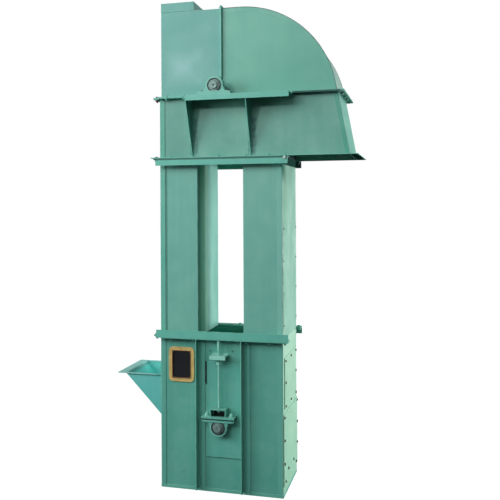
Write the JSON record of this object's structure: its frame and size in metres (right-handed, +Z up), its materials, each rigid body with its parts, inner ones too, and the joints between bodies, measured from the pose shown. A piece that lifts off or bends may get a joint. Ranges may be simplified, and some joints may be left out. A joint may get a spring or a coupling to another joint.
{
  "type": "bucket elevator",
  "caption": "Belt bucket elevator of folded sheet: boot with feed hopper and screw take-ups, two casing legs, head with outlet and a curved hood.",
  "frame": {"origin": "on the floor under the middle of the boot", "axes": "+X from the feed hopper to the outlet, the front with the inspection window faces -Y, +Z up"},
  "size_m": [1.3873, 0.7295, 2.7113],
  "materials": {
    "casing_paint": "semi-gloss sea-green enamel",
    "flange_paint": "semi-gloss sea-green enamel",
    "gasket_rubber": "matte ochre rubber",
    "pane_glass": "clear sheet",
    "shaft_steel": "machined",
    "pulley_steel": "dull",
    "belt_rubber": "matte black"
  },
  "bodies": {
    "casing": {"boot_floor": "casing_paint", "boot_front_panel": "casing_paint", "boot_back_panel": "casing_paint", "boot_inlet_end": "casing_paint", "boot_tail_end": "casing_paint", "boot_upper_cover": "casing_paint", "boot_lower_cover": "casing_paint", "boot_top_plate": "casing_paint", "window_gasket": "gasket_rubber", "window_glass": "pane_glass", "feed_hopper": "casing_paint", "guide_front_left": "casing_paint", "guide_front_right": "casing_paint", "guide_back_left": "casing_paint", "guide_back_right": "casing_paint", "screw_bracket_front": "casing_paint", "screw_bracket_back": "casing_paint", "boot_top_flange": "flange_paint", "leg_foot_flange": "flange_paint", "leg_top_flange": "flange_paint", "left_leg_outer_wall": "casing_paint", "left_leg_inner_channel": "casing_paint", "right_leg_outer_wall": "casing_paint", "right_leg_inner_channel": "casing_paint", "head_front_panel": "casing_paint", "head_back_panel": "casing_paint", "head_left_end": "casing_paint", "head_discharge_end": "casing_paint", "head_floor_plate": "casing_paint", "head_throat_plate": "casing_paint", "head_foot_flange": "flange_paint", "split_flange": "flange_paint", "hood_foot_flange": "flange_paint", "hood_left_cover": "casing_paint", "hood_right_front": "casing_paint", "hood_right_back": "casing_paint", "hood_curved_cover": "casing_paint", "hood_seam_flange": "flange_paint", "top_hatch": "casing_paint", "bearing_shelf_front": "flange_paint", "bearing_shelf_back": "flange_paint", "head_bearing_front": "flange_paint", "head_bearing_back": "flange_paint", "bucket_belt": "belt_rubber"},
    "takeup": {"takeup_carriage_front": "casing_paint", "takeup_carriage_back": "casing_paint", "takeup_bearing_front": "flange_paint", "takeup_bearing_back": "flange_paint", "takeup_screw_front": "shaft_steel", "takeup_screw_back": "shaft_steel"},
    "boot_drum": {"boot_shaft": "shaft_steel", "boot_pulley": "pulley_steel"},
    "head_drum": {"head_shaft": "shaft_steel", "head_pulley": "pulley_steel"}
  },
  "joints": [
    {"name": "head_shaft_spin", "type": "hinge", "parent": "casing", "child": "head_drum", "pos_m": [0, 0, 2.2222], "axis": [0, 1, 0], "continuous": true},
    {"name": "takeup_slide", "type": "slide", "parent": "casing", "child": "takeup", "axis": [0, 0, -1], "range_m": [0, 0.025]},
    {"name": "boot_shaft_spin", "type": "hinge", "parent": "takeup", "child": "boot_drum", "pos_m": [0, 0, 0.372], "axis": [0, 1, 0], "continuous": true}
  ],
  "couplings": [
    {"joint": "boot_shaft_spin", "follows": "head_shaft_spin", "ratio": 1}
  ]
}
